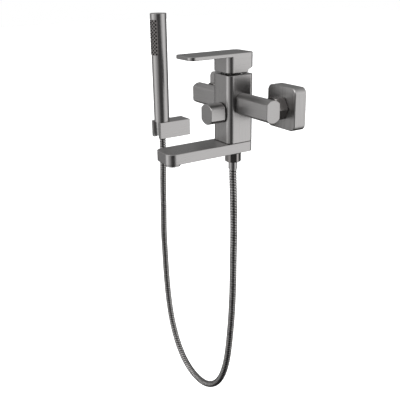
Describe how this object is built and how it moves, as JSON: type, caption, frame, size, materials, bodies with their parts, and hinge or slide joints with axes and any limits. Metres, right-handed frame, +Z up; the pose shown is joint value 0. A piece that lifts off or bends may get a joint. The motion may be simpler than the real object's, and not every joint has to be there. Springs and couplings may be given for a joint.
{
  "type": "bath and shower mixer tap",
  "caption": "Wall-mounted single-lever bath and shower mixer tap with a square column, flat swivel spout, diverter knob, ribbed hose and stick hand shower in a wall bracket.",
  "frame": {"origin": "midway between the axes of the two threads that screw into the wall, on the wall face", "axes": "+X to the right as seen from the front, +Y into the wall, +Z up"},
  "size_m": [0.3367, 0.1875, 0.6743],
  "materials": {
    "gunmetal": "brushed gunmetal grey",
    "dark_gunmetal": "satin dark gunmetal",
    "brass": "machined",
    "steel": "plain",
    "hose_steel": "ribbed dark steel sleeve",
    "rubber": "matt",
    "plastic": "moulded",
    "ceramic": "ground",
    "dark_plastic": "moulded"
  },
  "bodies": {
    "root": {"column_body": "gunmetal", "arm_left": "gunmetal", "arm_right": "gunmetal", "arm_seals": "rubber", "union_nut_left": "dark_gunmetal", "union_nut_right": "dark_gunmetal", "filter_washers": "rubber", "wall_union_left": "brass", "wall_union_right": "brass", "escutcheon_left": "gunmetal", "escutcheon_right": "gunmetal", "cartridge_case": "plastic", "cartridge_seals": "rubber", "fixed_disc": "ceramic", "cartridge_nut": "dark_gunmetal", "diverter_bonnet": "gunmetal", "bonnet_seal": "rubber", "spout_glide_ring": "plastic", "outlet_stem": "dark_gunmetal", "spout_o_rings": "rubber", "transfer_tube": "steel", "check_valve": "plastic", "hose_nut": "dark_gunmetal", "hose_washer": "rubber", "hose_ferrule": "dark_gunmetal", "shower_hose": "hose_steel", "bracket_block": "gunmetal", "bracket_plate": "steel", "bracket_grub_screw": "steel"},
    "turret": {"cartridge_turret": "dark_plastic", "pivot_pin": "steel"},
    "lever": {"lever_stem": "brass", "lever_handle": "gunmetal", "lever_grub_screw": "steel", "lever_plug": "gunmetal"},
    "disc": {"sliding_disc": "ceramic", "disc_carrier": "plastic"},
    "diverter": {"diverter_spindle": "brass", "diverter_rotor": "brass", "diverter_knob": "gunmetal", "knob_grub_screw": "steel"},
    "spout": {"spout": "gunmetal", "aerator_housing": "dark_gunmetal", "aerator_insert": "dark_plastic", "aerator_seal": "rubber"},
    "handset": {"handset_neck": "dark_gunmetal", "handset_tube": "gunmetal", "water_tube": "plastic", "spray_core": "plastic", "nozzle_mat": "rubber", "spray_plate": "dark_plastic", "handset_cap": "gunmetal", "cone_nut": "dark_gunmetal", "cone_washer": "rubber", "cone_ferrule": "dark_gunmetal"}
  },
  "joints": [
    {"name": "lever_turn", "type": "hinge", "parent": "root", "child": "turret", "pos_m": [0, -0.048, 0.008], "axis": [0, 0, 1], "range_deg": [-45, 45]},
    {"name": "lever_lift", "type": "hinge", "parent": "turret", "child": "lever", "pos_m": [0, -0.045, 0.046], "axis": [-1, 0, 0], "range_deg": [0, 20]},
    {"name": "disc_slide", "type": "slide", "parent": "turret", "child": "disc", "axis": [0, -1, 0], "range_m": [0, 0.004]},
    {"name": "diverter_turn", "type": "hinge", "parent": "root", "child": "diverter", "pos_m": [0, -0.048, -0.0055], "axis": [0, 1, 0], "range_deg": [0, 90]},
    {"name": "spout_swivel", "type": "hinge", "parent": "root", "child": "spout", "pos_m": [0, -0.048, 0], "axis": [0, 0, 1], "range_deg": [-60, 60]},
    {"name": "handset_lift", "type": "slide", "parent": "root", "child": "handset", "axis": [0, 0, 1], "range_m": [0, 0.03]}
  ],
  "couplings": [
    {"joint": "disc_slide", "follows": "lever_lift", "m_per_rad": 0.0112}
  ]
}
